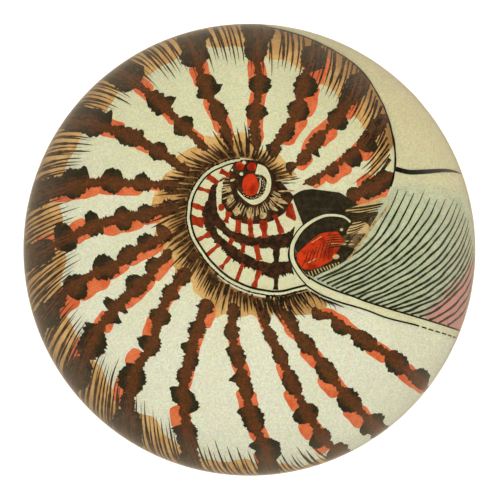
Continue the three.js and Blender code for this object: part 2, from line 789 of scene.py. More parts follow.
BANDS: tuple[Band, ...] = (
    Band((9.0, 9.4), ((16.9, 8.6), (19.9, 10.3), (22.9, 11.8)),
         ((1.6, 1.3, 1.7, 1.2), (5.0, 2.4, 1.5, 2.0), (7.6, 1.8, 1.8, 1.9)),
         ((-1.3, 3.2, -1.7), (2.8, 6.0, 2.4), (3.0, 8.4, -2.6)), 0.2, 0.2),
    Band((4.3, 11.6), ((10.6, 12.1), (13.8, 13.9), (17.9, 16.8), (21.4, 20.5)),
         ((0.5, 1.4, 0.5, 1.2), (4.3, 1.2, 0.8, 1.5), (8.4, 1.6, 1.0, 2.6), (12.0, 1.8, 1.0, 2.7),
          (15.0, 2.4, 1.3, 1.4)),
         ((-0.3, 2.6, -1.8), (2.2, 7.6, -2.5), (4.8, 7.6, 0.8), (9.2, 12.0, 1.0), (9.0, 12.5, -2.9)),
         0.15, -1.6, 0.5),
    Band((3.8, 12.8), ((8.2, 14.2), (11.6, 19.0), (15.3, 22.8), (18.8, 27.8)),
         ((-0.4, 1.2, 1.9, -0.3), (2.3, 1.3, 1.1, 1.3), (4.3, 0.7, 0.4, 2.8), (5.9, 2.0, 1.0, 1.4),
          (11.2, 1.6, 1.9, 2.3), (14.6, 2.6, 1.8, 0.8), (18.0, 3.0, 2.6, 1.6)),
         ((0.0, 3.4, -1.5), (2.6, 11.0, 1.6), (5.6, 10.0, -2.0), (12.0, 16.5, -2.0)), 0.2, -1.7, 0.5),
    Band((2.4, 14.9), ((4.0, 16.2), (5.8, 20.4), (8.3, 24.0), (9.4, 29.2), (11.5, 34.3)),
         ((1.3, 1.3, 1.6, 0.9), (5.0, 2.1, 0.8, 1.9), (9.4, 1.8, 1.9, 2.1), (13.8, 2.2, 1.5, 2.9),
          (19.2, 2.4, 2.5, 2.4)),
         ((2.6, 9.2, -2.6), (8.6, 15.0, -3.1), (14.4, 20.5, -3.4)), 0.3, -0.5, 0.7),
    Band((0.4, 15.9), ((1.2, 19.6), (1.0, 23.5), (1.7, 28.9), (1.4, 34.3), (2.1, 39.0)),
         ((0.5, 2.2, 1.1, 0.8), (4.5, 1.5, 1.8, 2.2), (9.4, 1.6, 1.9, 2.1), (16.2, 2.8, 2.6, 1.8),
          (20.2, 3.0, 4.0, 2.6)),
         ((-1.8, 14.2, -1.4), (1.2, 8.6, 1.5), (8.0, 14.0, 1.9)), 0.25, -2.6, 0.75),
    Band((-2.0, 16.2), ((-3.6, 19.4), (-4.8, 22.6), (-7.5, 28.1), (-9.2, 33.2)),
         ((0.8, 1.7, 1.2, 0.8), (5.0, 1.8, 1.4, 1.5), (9.2, 1.3, 2.1, 3.0), (10.8, 1.5, 1.4, 2.0),
          (15.9, 2.0, 2.9, 2.6), (19.5, 2.6, 2.4, 3.6)),
         ((0.6, 8.6, 1.7), (10.2, 14.6, 1.8), (-0.4, 7.6, -1.3), (10.8, 14.8, -1.6)), 0.2, -2.0, 0.7),
    Band((-4.6, 15.7), ((-8.5, 18.8), (-11.3, 21.3), (-15.2, 25.3), (-21.2, 30.3)),
         ((-0.4, 1.6, 1.0, 0.4), (4.1, 1.5, 1.9, 2.2), (9.2, 1.1, 2.4, 3.1), (10.6, 1.9, 2.0, 1.6),
          (17.0, 2.0, 3.0, 3.4), (20.5, 3.0, 3.2, 3.0)),
         ((-0.2, 3.6, -1.0), (5.2, 9.2, 1.4), (11.2, 15.6, 1.4), (12.2, 15.6, -1.6)), 0.3, -1.8, 0.7),
    Band((-7.6, 13.9), ((-11.9, 14.7), (-16.1, 17.2), (-20.8, 19.9), (-26.3, 21.7)),
         ((0.0, 1.6, 1.1, 0.5), (4.7, 1.4, 1.6, 1.8), (9.2, 0.9, 1.0, 2.6), (10.6, 2.4, 1.9, 1.4),
          (15.0, 0.8, 0.8, 3.5), (17.2, 2.2, 2.4, 3.0), (21.5, 3.2, 2.6, 3.2)),
         ((5.8, 9.2, 1.4), (12.2, 15.8, 1.5), (11.6, 15.2, -1.7), (7.4, 9.6, -1.0), (18.6, 23.0, -2.2)),
         0.4, -1.8, 0.85),
    Band((-9.7, 11.2), ((-13.8, 11.5), (-17.8, 11.3), (-23.8, 11.8), (-29.1, 11.5), (-34.5, 10.5)),
         ((0.0, 1.3, 1.6, 0.7), (5.0, 1.5, 1.2, 2.1), (10.2, 1.9, 2.0, 2.6), (15.0, 0.9, 1.0, 3.4),
          (17.2, 2.4, 2.3, 3.2), (20.8, 2.4, 1.5, 2.4), (24.6, 3.0, 2.6, 2.6)),
         ((1.4, 5.6, 1.0), (4.4, 13.5, 2.2), (12.0, 21.8, 2.5), (20.0, 23.0, -1.8)), 0.6, -1.6, 0.7),
    Band((-10.9, 8.0), ((-13.3, 7.4), (-16.7, 6.5), (-21.4, 5.6), (-27.0, 4.2), (-32.3, 1.7), (-36.9, -0.2)),
         ((0.9, 1.6, 1.2, 1.5), (4.9, 1.4, 1.5, 1.8), (9.0, 1.5, 2.3, 2.2), (14.2, 1.5, 2.3, 1.0),
          (14.2, 1.2, 1.6, 2.8), (19.8, 1.9, 2.3, 3.4), (24.6, 2.4, 2.6, 1.8), (28.4, 3.0, 2.6, 2.6)),
         ((2.2, 6.0, 1.9), (5.0, 13.6, 2.5), (15.0, 18.6, 1.7), (15.0, 18.6, -2.2), (20.5, 26.0, -2.2)),
         0.7, -1.6, 0.8),
    Band((-11.1, 5.0), ((-14.2, 3.4), (-16.5, 1.4), (-20.1, -0.3), (-24.0, -3.0), (-28.4, -4.8),
                        (-32.8, -8.0), (-37.0, -12.1)),
         ((0.8, 1.1, 1.7, 1.9), (4.4, 1.7, 1.0, 2.2), (8.3, 1.7, 1.5, 1.7), (13.0, 2.2, 1.7, 2.9),
          (16.6, 1.6, 0.8, 0.6), (19.2, 2.0, 2.9, 1.9), (23.4, 1.6, 1.6, 0.9), (26.4, 2.2, 3.2, 1.8),
          (30.5, 2.8, 2.8, 2.6)),
         ((1.8, 9.8, 2.1), (8.8, 14.4, 2.0), (12.6, 20.5, 3.3), (19.5, 25.4, 3.2), (20.6, 24.4, -0.9)),
         0.9, -0.4, 0.7),
    Band((-10.2, 1.9), ((-15.9, -2.5), (-18.4, -5.7), (-23.6, -10.4), (-27.2, -15.4), (-30.2, -21.5)),
         ((-2.0, 1.4, 1.1, 0.5), (0.8, 1.6, 0.7, 1.9), (5.4, 1.8, 1.3, 2.7), (11.4, 2.1, 2.8, 0.9),
          (11.0, 0.9, 1.0, 2.6), (16.4, 1.3, 1.4, 2.8), (18.6, 2.6, 2.8, 2.2), (24.6, 3.4, 2.7, 2.4)),
         ((-2.6, 2.8, 2.1), (2.2, 10.0, 1.8), (12.6, 15.6, 1.7), (12.2, 15.4, -1.5), (18.0, 23.0, -2.6)),
         1.0, -3.4, 0.8),
    Band((-8.9, -0.4), ((-11.4, -4.3), (-13.8, -7.5), (-15.6, -11.5), (-17.1, -16.7), (-19.9, -21.2),
                        (-20.8, -26.8), (-21.2, -30.8)),
         ((0.3, 1.6, 1.6, 1.3), (4.1, 1.1, 1.9, 1.4), (8.6, 1.4, 2.1, 1.8), (13.8, 1.6, 1.6, 2.7),
          (20.6, 2.5, 2.2, 2.8), (25.0, 1.9, 0.7, 2.0), (28.8, 2.6, 2.4, 3.4), (32.4, 2.8, 2.6, 3.4)),
         ((0.8, 8.4, 1.2), (8.6, 13.6, -2.2), (15.6, 19.0, -2.6), (20.4, 25.6, -3.2)), 1.1, -1.4, 0.8),
    Band((-5.6, -4.8), ((-7.8, -9.7), (-9.8, -16.4), (-10.8, -20.9), (-11.7, -25.6), (-11.0, -30.8),
                        (-10.0, -36.8)),
         ((0.1, 1.4, 1.7, 1.0), (4.5, 1.6, 1.3, 1.5), (8.0, 1.2, 0.9, 2.2), (10.0, 1.8, 1.7, 1.0),
          (12.8, 1.5, 0.9, 1.6), (15.7, 0.9, 0.9, 3.2), (17.3, 2.4, 2.2, 1.9), (18.4, 1.2, 2.9, 0.6),
          (22.2, 0.9, 1.4, 3.3), (24.0, 2.5, 1.5, 2.2), (28.6, 2.8, 1.2, 2.8)),
         ((-0.8, 4.0, 2.2), (3.2, 9.8, 1.4), (10.8, 15.8, 1.2), (18.8, 22.0, 1.0), (17.8, 22.0, -2.6),
          (25.8, 29.0, 1.1)), 0.9, -1.2, 0.8),
    Band((-2.4, -7.0), ((-3.0, -11.5), (-3.0, -14.5), (-2.4, -18.0), (-1.0, -22.7), (0.2, -28.7),
                        (2.6, -35.0), (3.7, -39.0)),
         ((-0.7, 1.6, 1.4, 0.9), (2.8, 1.4, 1.3, 1.4), (6.2, 1.0, 1.0, 1.9), (7.4, 1.7, 1.6, 1.2),
          (11.4, 1.4, 1.1, 2.8), (13.0, 2.0, 1.4, 1.2), (17.0, 0.9, 0.9, 2.8), (18.6, 2.4, 2.2, 1.7),
          (23.2, 0.9, 1.2, 2.7), (25.0, 2.2, 2.9, 1.8), (29.0, 3.0, 1.6, 2.4)),
         ((0.2, 5.2, -0.9), (7.4, 10.6, -1.3), (12.8, 17.2, -1.7), (18.2, 22.8, -1.4), (24.0, 28.0, -2.0),
          (3.8, 6.8, 1.2), (8.2, 11.4, 1.4), (13.6, 17.0, 1.7), (20.2, 23.8, 1.7)), 0.45, -2.2, 0.75),
    Band((1.3, -8.3), ((2.1, -11.1), (3.3, -14.5), (5.3, -18.2), (7.3, -22.7), (9.9, -28.0),
                       (12.7, -32.8), (15.3, -35.5)),
         ((1.0, 1.3, 1.3, 0.7), (4.2, 1.2, 1.2, 1.1), (8.0, 1.6, 1.3, 1.4), (13.2, 2.3, 1.3, 1.7),
          (19.3, 1.6, 2.1, 2.9), (24.4, 1.4, 1.7, 2.8), (28.6, 1.6, 2.1, 2.6), (31.0, 2.0, 1.8, 3.4)),
         ((0.2, 3.0, -0.9), (5.0, 7.0, -0.9), (8.8, 13.6, -1.6), (13.8, 18.4, -2.3), (19.8, 23.8, -2.7),
          (24.2, 27.0, -2.6), (20.6, 23.8, 1.0)), 0.35, -2.2, 0.72),
    Band((4.6, -8.5), ((5.1, -10.6), (7.2, -13.7), (9.4, -15.9), (12.6, -19.8), (15.8, -24.1),
                       (21.2, -30.2)),
         ((2.6, 2.6, 1.8, 0.3), (7.6, 2.2, 1.4, 1.5), (13.6, 2.4, 1.5, 1.9), (20.1, 2.3, 1.7, 2.4),
          (26.2, 1.5, 2.6, 2.8), (29.0, 2.0, 1.8, 1.9)),
         ((-0.6, 3.8, -0.9), (2.8, 6.0, -1.1), (7.4, 12.4, -1.9), (13.2, 18.4, -2.5), (20.4, 25.6, -2.7),
          (9.2, 12.4, 1.0), (13.8, 18.8, 1.1), (22.0, 25.6, 1.1)), 0.3, -2.0, 0.65),
    Band((9.2, -7.5), ((12.3, -10.8), (15.4, -12.4), (19.4, -15.4), (23.6, -17.9), (26.4, -20.2),
                       (30.8, -24.1)),
         ((0.0, 1.5, 0.3, 1.6), (4.5, 1.9, 0.4, 1.9), (9.3, 2.4, 1.5, 1.8), (16.3, 2.3, 1.8, 2.1),
          (21.6, 2.2, 2.4, 1.0)),
         ((0.0, 8.2, 1.25), (10.2, 15.2, 1.0), (10.0, 15.0, -1.9), (17.2, 22.2, -1.9), (18.0, 20.4, 1.3),
          (20.8, 24.6, -1.5)), 0.25, -1.5, 0.7),
)


# Bars across the inner whorls, from their outer to their inner end, with their width.
RED_BARS = (
    ((-4.9, 13.7), (-3.6, 13.0), 0.9), ((-7.1, 12.7), (-5.6, 11.7), 1.0), ((-8.8, 10.7), (-7.1, 10.2), 0.7),
    ((-10.4, 8.0), (-8.2, 7.2), 0.9), ((-10.1, 5.2), (-8.1, 4.7), 1.6), ((-9.0, 1.7), (-7.0, 2.7), 0.8),
    ((-7.4, -0.9), (-5.4, 0.8), 0.8), ((-4.9, -3.1), (-3.5, -1.4), 0.7), ((-2.5, -6.1), (-1.2, -2.6), 0.75),
    ((0.8, -6.5), (1.7, -3.8), 0.9), ((-3.0, 1.8), (-3.4, 1.1), 0.8), ((-1.0, 0.9), (-1.2, -0.3), 0.7),
    ((1.2, 0.6), (1.7, -1.7), 1.0), ((-3.6, 6.4), (-4.1, 4.9), 0.9), ((-1.9, 5.0), (-2.0, 3.2), 1.0),
    ((0.1, 5.2), (0.3, 2.4), 0.95), ((2.4, 4.9), (2.7, 2.3), 1.3), ((4.5, 5.9), (5.6, 3.0), 0.9))
DARK_BARS = (((4.6, -6.8), (4.7, -4.7), 0.8), ((4.7, 0.1), (4.7, -2.3), 1.2))

# Tan brush marks round the eye, from end to end, with their width.
TAN_MARKS = (
    ((-4.2, 10.7), (-3.1, 10.3), 0.7), ((-3.9, 9.0), (-2.8, 9.4), 0.5), ((-3.9, 8.0), (-3.3, 8.9), 0.6),
    ((-2.4, 5.9), (-2.0, 7.4), 1.1), ((-0.4, 7.0), (0.0, 5.3), 0.4), ((0.1, 7.0), (0.6, 5.1), 0.4),
    ((2.0, 6.5), (2.7, 5.5), 1.2), ((3.5, 7.6), (5.0, 6.8), 0.5), ((3.9, 9.1), (6.8, 8.0), 0.6),
    ((4.2, 8.4), (6.0, 7.2), 0.3), ((-3.4, 12.0), (-2.5, 12.3), 0.35), ((5.0, 10.2), (8.0, 10.3), 0.3),
    ((4.5, 12.0), (8.5, 12.6), 0.3))

# Some of the lining's hatch lines, from the lip up to their tops, by their place in the row.
LINING = {
    0: ((11.0, -4.7), (14.5, -3.1), (17.8, -1.2), (20.6, 1.0), (22.8, 3.9), (24.6, 7.2), (26.2, 11.0)),
    7: ((16.8, -7.7), (21.2, -5.7), (25.0, -3.6), (28.6, -1.0), (31.6, 1.8), (34.4, 5.4), (36.4, 9.4)),
    11: ((20.8, -9.3), (25.2, -7.5), (29.2, -5.4), (32.6, -3.1), (35.2, -0.5), (37.2, 2.6), (38.9, 6.6)),
    15: ((25.2, -10.6), (28.4, -9.6), (31.6, -8.3), (34.6, -6.3), (36.9, -3.8), (38.7, -0.9), (40.3, 2.6)),
    18: ((29.8, -11.7), (32.6, -10.7), (35.0, -9.1), (37.0, -7.2), (38.7, -5.2), (40.0, -3.0), (41.0, -0.5)),
    21: ((35.0, -13.4), (36.6, -12.5), (38.0, -11.5), (39.2, -10.4), (40.2, -9.2), (41.0, -8.0),
         (41.6, -6.6))}


@dataclass
class DrawnShell:
    """The coloured engraving of a shell on the sheet, drawn layer by layer in millimetres."""

    outline: tuple[Point, ...] = (
        (-4.0, 42.0), (2.0, 40.6), (6.0, 39.3), (10.0, 37.9), (14.0, 35.9), (18.0, 33.3), (20.6, 30.6),
        (22.3, 27.8), (23.8, 24.7), (24.9, 21.0), (25.5, 17.5), (25.5, 14.5), (25.0, 12.0), (24.2, 9.8),
        (22.6, 6.6), (20.8, 3.6), (18.6, 0.9), (16.4, -1.0), (14.4, -2.5), (12.5, -3.6))
    margin: tuple[Point, ...] = (
        (-65.0, 42.0), (-70.0, 39.2), (-76.5, 38.7), (-98.0, 37.3), (-119.1, 34.9), (-139.3, 33.0),
        (-160.2, 34.0), (-175.5, 32.1), (-193.0, 33.8), (-209.0, 35.4), (-227.0, 35.8), (-244.5, 36.0),
        (-264.3, 35.5), (-281.2, 33.3), (-298.2, 31.8), (-310.3, 30.2), (-327.0, 25.5), (-339.0, 22.3))
    whorl: tuple[Point, ...] = (
        (-1.6, 15.6), (-3.4, 15.4), (-5.2, 14.7), (-6.5, 14.1), (-8.0, 12.9), (-9.0, 11.6), (-9.9, 10.0),
        (-10.4, 8.4), (-10.6, 6.6), (-10.7, 5.5), (-10.4, 3.8), (-9.9, 2.2), (-9.0, 0.6), (-8.2, -0.6),
        (-7.3, -1.9), (-6.0, -3.3), (-4.8, -4.4), (-3.4, -5.4), (-1.2, -6.5), (0.5, -7.1), (2.0, -7.4),
        (4.0, -7.7), (6.0, -7.6), (8.0, -7.1), (10.0, -6.6))
    ridge: tuple[Point, ...] = (
        (-2.8, 14.1), (-3.5, 13.0), (-5.1, 12.2), (-6.1, 11.6), (-6.8, 10.6), (-7.1, 9.4), (-7.4, 8.4),
        (-8.1, 7.3), (-8.2, 6.2), (-8.0, 4.7), (-7.6, 3.6), (-6.8, 2.4), (-5.6, 1.1), (-4.6, 0.1),
        (-3.6, -1.1), (-2.6, -1.8), (-1.4, -2.5), (-0.2, -3.0), (1.1, -3.6), (2.4, -4.3), (4.0, -4.9),
        (5.4, -4.5), (7.2, -3.8), (7.8, -4.4))
    lip: tuple[Point, ...] = (
        (17.6, 4.8), (17.2, 5.3), (16.3, 5.8), (15.0, 6.0), (13.5, 6.0), (12.2, 5.6), (11.0, 5.0),
        (10.0, 4.3), (9.0, 3.4), (8.2, 2.2), (7.6, 1.0), (7.4, -0.3), (7.5, -1.6), (8.0, -2.8), (8.7, -3.9),
        (9.6, -5.0), (10.6, -5.9), (12.0, -6.7), (14.0, -7.6), (16.0, -8.4), (18.0, -9.1), (20.0, -9.65),
        (24.0, -11.05), (28.0, -12.15), (32.0, -13.35), (36.0, -14.65), (41.0, -16.5))
    lip_top: tuple[Point, ...] = (
        (10.2, -4.7), (12.0, -5.8), (14.0, -6.7), (16.0, -7.45), (18.0, -8.1), (20.0, -8.9), (24.0, -10.2),
        (28.0, -11.4), (32.0, -12.6), (36.0, -13.9), (41.0, -15.7))
    lip_low: tuple[Point, ...] = (
        (9.8, -6.1), (11.0, -7.0), (12.5, -7.9), (14.0, -8.5), (16.0, -9.24), (20.0, -10.4), (24.0, -11.9),
        (28.0, -12.9), (29.5, -13.3), (32.0, -14.1), (36.0, -15.4), (41.0, -17.5))
    layers: dict[str, Layer] = field(default_factory=dict)

    def layer(self, name: str, lift: float, finish: Paper, held: bool = False) -> Layer:
        """Starts a named layer, which may be held inside the shell's edge."""
        self.layers[name] = Layer(name, lift, finish, self.inside if held else Vector)
        return self.layers[name]

    def inside(self, p: Vector) -> Vector:
        """Pulls a point that lies past the shell's right edge back to that edge.

        Args:
            p: The point.

        Returns:
            The same point, or the nearest one on the edge.
        """
        if p.x < 2 or p.y < 0:
            return p
        best = (math.inf, p, 0.0)
        corners = [Vector(corner) for corner in self.outline]
        for a, b in zip(corners, corners[1:]):
            way = b - a
            spot = a + way * min(1.0, max(0.0, (p - a).dot(way) / way.length_squared))
            gap = (p - spot).length
            if gap < best[0]:
                best = (gap, spot, way.cross(p - spot))
        return best[1] if best[2] > 0 else p

    def margin_radius(self, angle: float) -> float:
        """How far from the sheet's centre the margin's wash reaches in at an angle in degrees."""
        for (a, r), (b, q) in zip(self.margin, self.margin[1:]):
            if b <= angle <= a:
                return r + (q - r) * (a - angle) / (a - b)
        return Layer.EDGE

    def washes(self) -> None:
        """Lays the ochre margins, the lining's green and rose, and the vermilion beside the bands."""
        ochre = self.layer("ochre_wash", 0.010, Wash(
            name="ochre_wash", light=Tone.HONEY, deep=Tone.OCHRE, edge=Tone.BROWN, pooling=0.8, size=0.35),
            held=True)
        angles = range(-66, -340, -1)
        inner = []
        for angle in angles:
            turn = math.radians(angle)
            reach = self.margin_radius(angle) + 0.9 * wobble(angle * 0.6, 2.0, 4.0)
            inner.append(Vector((math.cos(turn), math.sin(turn))) * reach)
        edge = Trail(self.outline)
        rim = [Vector((math.cos(math.radians(a)), math.sin(math.radians(a)))) * Layer.EDGE
               for a in range(-66, -264, -2)]
        outer = Trail([*rim, *(edge.part(k / 60) for k in range(3, 47))], 4)
        inside = Trail(inner, 2)
        share = [k / 300 for k in range(301)]
        ochre.strip([outer.part(f) for f in share], [inside.part(f) for f in share])
        roots = Trail([band.root for band in BANDS[1:]])
        reach = (3.0, 3.4, 3.2, 4.2, 5.0, 5.2, 6.0, 6.2, 5.6, 5.6, 4.4, 5.0, 5.6, 4.0, 3.2, 3.0, 2.6)
        near, far = [], []
        for k in range(241):
            s, spot = roots.length * k / 240, k / 240 * (len(reach) - 1)
            low = min(int(spot), len(reach) - 2)
            wide = reach[low] + (reach[low + 1] - reach[low]) * (spot - low)
            near.append(roots.point(s) + roots.normal(s) * 0.2)
            far.append(roots.point(s) - roots.normal(s) * (wide + 0.9 * wobble(s, 5.0, 1.6)))
        ochre.strip(near, far)
        ochre.patch(((4.0, -7.9), (7.0, -8.0), (9.6, -6.8), (12.6, -8.4), (13.6, -9.6), (12.0, -11.2),
                     (8.4, -10.6),
                     (5.4, -11.4)), 0.15, 0.8)
        lining = self.layer("lining_wash", 0.014, LiningWash())
        low = Trail(self.lip_top)
        side = [edge.part(f / 40) for f in range(24, 41)]
        foot = [low.part(f / 40) for f in range(41)]
        rim = [Vector((math.cos(math.radians(a)), math.sin(math.radians(a)))) * Layer.EDGE
               for a in range(-19, 18, 3)]
        lining.patch([*side, *foot, *rim], 0.0, 1.0, False)
        red = self.layer("red_wash", 0.020, Wash(
            name="red_wash", light=Tone.SALMON, deep=Tone.CORAL, pooling=0.8, size=0.5), held=True)
        for number, band in enumerate(BANDS):
            for start, end, reach in band.washes:
                self.wash_strip(red, band, number, start, end, reach)

    def wash_strip(self, layer: Layer, band: Band, number: int, start: float, end: float,
                   reach: float) -> None:
        """Lays one strip of red beside a band.

        Args:
            layer: Where it is laid.
            band: The band.
            number: The band's number, which seeds its wavering edge.
            start: Where the strip starts along the band.
            end: Where it ends.
            reach: How far it reaches, to the left where positive.
        """
        middle, half = (start + end) / 2, (end - start) / 2

        def far(s: float) -> float:
            """The strip's outer edge."""
            edge = 0.12 * wobble(s, number + reach, 1.6)
            return (abs(reach) + 0.02) * hump(((s - middle) / half) ** 3) + edge

        def near(_: float) -> float:
            """The strip's inner edge, under the dark band."""
            return 0.1

        sides = (far, near) if reach > 0 else (near, far)
        layer.ribbon(band.trail(), *sides, start, end)

    def bands(self) -> None:
        """Inks the dark bands."""
        ink = self.layer("band_ink", 0.050, BandInk(), held=True)
        for number, band in enumerate(BANDS):
            ink.ribbon(band.trail(), self.band_edge(band, number, 1), self.band_edge(band, number, -1),
                       band.start, band.trail().length + 12, 0.09)

    def band_edge(self, band: Band, number: int, side: int) -> Width:
        """One edge of a dark band: its core, its blobs and its scalloped, spiky outline.

        Args:
            band: The band.
            number: The band's number.
            side: 1 for the left edge and -1 for the right.

        Returns:
            The reach at each distance.
        """
        place = 2 if side > 0 else 3
        seed = number * 2.3 + side

        def reach(s: float) -> float:
            """The reach at a distance."""
            rise = min(1.0, max(0.0, (s - band.start) / 1.6)) ** 0.6
            width = 0.88 * band.core * rise
            for blob in band.blobs:
                width += (blob[place] * 0.95 - width) * hump((s - blob[0]) / blob[1]) ** 1.35
            scallop = abs(math.sin(math.pi * s / 1.15 + seed + 0.8 * wobble(s, seed, 2.2))) ** 0.6
            edge = 0.28 * scallop - 0.2 + 0.12 * wobble(s, seed + 0.5, 0.7)
            spikes = (0.2 + 0.4 * band.ragged) * teeth(s, seed + 0.7, 0.34)
            return width + (edge + spikes) * rise
        return reach

    def combs(self) -> None:
        """Draws the tapering strokes at the outer margin and round the inner whorls."""
        ink = self.layer("comb_ink", 0.060, LineInk(name="comb_ink"), held=True)
        for number, (first, second) in enumerate(zip(BANDS, BANDS[1:])):
            pair = (first.trail(), second.trail())
            self.outer_comb(ink, pair, number)
            if number:
                self.inner_comb(ink, first, second, number)

    def blend(self, pair: tuple[Trail, Trail], share: float, starts: tuple[float, float],
              ends: tuple[float, float], knots: int = 6) -> Trail:
        """A line that lies between two others.

        Args:
            pair: The two lines.
            share: How near it is to the second one.
            starts: Where it starts on each.
            ends: Where it ends on each.
            knots: How many points it is drawn through.

        Returns:
            The line.
        """
        points = []
        for k in range(knots):
            t = k / (knots - 1)
            a, b = (line.point(s + (e - s) * t) for line, s, e in zip(pair, starts, ends))
            points.append(a.lerp(b, share))
        return Trail(points)

    def rim_distance(self, trail: Trail) -> float:
        """How far along a line it leaves the sheet or the shell's outline."""
        s = trail.length * 0.5
        while s < trail.length + 14:
            p = trail.point(s)
            if p.length > Layer.EDGE - 0.3 or self.inside(p) != p:
                return s
            s += 0.25
        return s

    def outer_comb(self, ink: Layer, pair: tuple[Trail, Trail], number: int) -> None:
        """Draws the strokes that run in from the margin between two bands.

        Args:
            ink: Where they are drawn.
            pair: The two bands' middle lines.
            number: The gap's number.
        """
        ends = tuple(self.rim_distance(line) for line in pair)
        gap = (pair[0].point(ends[0]) - pair[1].point(ends[1])).length
        if number >= len(BANDS) - 3:
            return
        count = max(3, round(gap / 0.95))
        for k in range(count):
            share = (k + 0.5 + 0.25 * wobble(k, number, 0.7)) / count
            probe = self.blend(pair, share, (0.0, 0.0), ends)
            end = probe.length
            while end > 2 and self.margin_radius(self.angle_of(probe.point(end))) < probe.point(end).length:
                end -= 0.25
            past = 3.0 * (0.5 + 0.5 * wobble(k * 3.1, number + 0.3, 1.3)) * (1.0 if k % 2 else 0.5)
            tip = max(1.0, end - past - 0.8)
            thick = (0.44 if k % 2 else 0.32) * (1 + 0.3 * wobble(k, number + 4, 1.1))
            span = probe.length - tip
            bend = 1.5 + 0.7 * wobble(k * 1.7, number + 8, 2.0)
            line = Trail([probe.point(tip + span * q) + probe.normal(tip + span * q) * bend * q * q
                          for q in (0.0, 0.25, 0.5, 0.75, 1.0)])

            def width(s: float, line: Trail = line, thick: float = thick, k: int = k) -> float:
                """A stroke that swells from a point towards the margin."""
                u = s / line.length
                return thick * min(1.0, 1.9 * u) ** 0.8 * (1 + 0.25 * wobble(s, k + number * 9.0, 1.2)) + 0.02
            ink.stroke(line, width, 0.0, line.length + 0.5)

    def angle_of(self, p: Vector) -> float:
        """A point's direction from the sheet's centre, counted down from -60 degrees."""
        angle = math.degrees(math.atan2(p.y, p.x))
        while angle > -60:
            angle -= 360
        return angle

    def inner_comb(self, ink: Layer, first: Band, second: Band, number: int) -> None:
        """Draws the dense strokes that run out from the inner whorls between two bands.

        Args:
            ink: Where they are drawn.
            first: One band.
            second: The next band.
            number: The gap's number.
        """
        lines = tuple(Trail([band.root, *band.path]) for band in (first, second))
        gap = (Vector(first.root) - Vector(second.root)).length
        count = max(4, round(gap / 0.48))
        for k in range(count):
            share = (k + 0.35 * wobble(k, number, 0.9)) / count
            near = 0.5 + 0.5 * wobble(k * 2.3, number + 0.9, 1.7)
            reach = (2.4 + 3.4 * near) * (1.25 if 4 <= number <= 11 else 0.95)
            start = 0.1 + 0.4 * wobble(k, number + 3, 0.8)
            probe = self.blend(lines, share, (start, start), (start + reach, start + reach), 4)
            thick = 0.45 * (1 + 0.35 * wobble(k, number + 6, 1.3))

            def width(s: float, probe: Trail = probe, thick: float = thick, k: int = k) -> float:
                """A stroke that thins away outwards."""
                u = min(1.0, max(0.0, s / probe.length))
                return thick * (1 - u ** 2.2) * (1 + 0.3 * wobble(s, k + number * 5.0, 0.9)) + 0.02
            ink.stroke(probe, width)

    def whorls(self) -> None:
        """Draws the inner whorls: a cream ground, ragged dark arms on it and red bars across it."""
        ground = self.layer("whorl_ground", 0.150, Wash(
            name="whorl_ground", light=Tone.CREAM, deep=Tone.TAN, pooling=0.3, size=0.6))
        line = Trail(self.whorl)
        ground.patch([*(line.part(k / 60) for k in range(61)), (9.6, -5.0), (8.0, -2.8), (7.4, -0.3),
                      (8.2, 2.2),
                      (9.0, 3.4), (9.8, 5.0), (9.4, 7.4), (8.0, 9.2), (5.5, 10.0), (4.2, 12.0), (3.4, 14.2),
                      (1.6, 15.5)], 0.0, 1.0, False)
        dark = self.layer("whorl_arms", 0.154, LineInk(name="whorl_arms", light="#4c2d18", dark="#231b10"))
        self.arm(dark, ((-2.8, 12.2), (-4.1, 12.3), (-5.0, 11.9), (-5.6, 11.2), (-5.7, 10.2), (-5.7, 8.0),
                        (-5.6, 7.0), (-5.3, 6.0), (-4.9, 5.3), (-4.3, 4.6)), self.ridge[:11], 1.0, (0.0, 0.1))
        self.arm(dark, ((-4.6, 5.0), (-3.3, 3.4), (-1.8, 2.9), (-0.2, 2.4), (1.2, 2.2), (2.6, 2.3),
                        (4.0, 2.5),
                        (5.4, 2.7), (6.6, 3.0), (8.0, 3.9)),
                 ((-6.0, 4.2), (-4.9, 3.2), (-3.7, 2.2), (-2.6, 1.6), (-1.4, 0.9), (0.0, 0.65), (1.3, 0.5),
                  (2.4, 0.3), (3.4, 0.3), (4.4, 0.1), (5.5, 0.3), (7.3, 0.6)), 2.0, (0.1, 0.25))
        self.arm(dark, ((-6.2, 4.4), (-5.2, 2.6), (-4.3, 1.7), (-3.0, 0.8), (-1.7, -0.1), (-0.6, -0.7),
                        (0.9, -1.6), (2.2, -2.0), (4.0, -2.3), (5.6, -2.2),
                 (7.2, -2.2)), self.ridge[10:], 3.0,
                 (0.15, 0.55))
        dark.patch(((-2.4, 13.6), (-3.4, 13.0), (-4.4, 12.2), (-4.7, 11.0), (-4.6, 9.6), (-4.8, 8.2),
                    (-4.1, 7.2), (-3.4, 6.4), (-3.1, 5.4), (-2.2, 5.2), (-1.2, 4.7), (-0.4, 4.4), (0.7, 4.6),
                    (1.9, 4.5), (3.0, 4.8), (4.3, 5.2), (5.1, 6.1), (6.2, 6.4), (6.9, 8.1), (7.6, 9.4),
                    (5.5, 10.0), (4.2, 11.4), (3.9, 13.0), (3.0, 14.6), (1.6, 15.5), (-2.4, 15.4)), 0.14, 0.6)
        red = self.layer("red_bars", 0.158, Wash(
            name="red_bars", light=Tone.BRICK, deep=Tone.BLOOD, pooling=0.8, size=0.7))
        for bars, layer in ((RED_BARS, red), (DARK_BARS, dark)):
            for number, (outer, inner, wide) in enumerate(bars):
                bar = Trail((outer, inner))

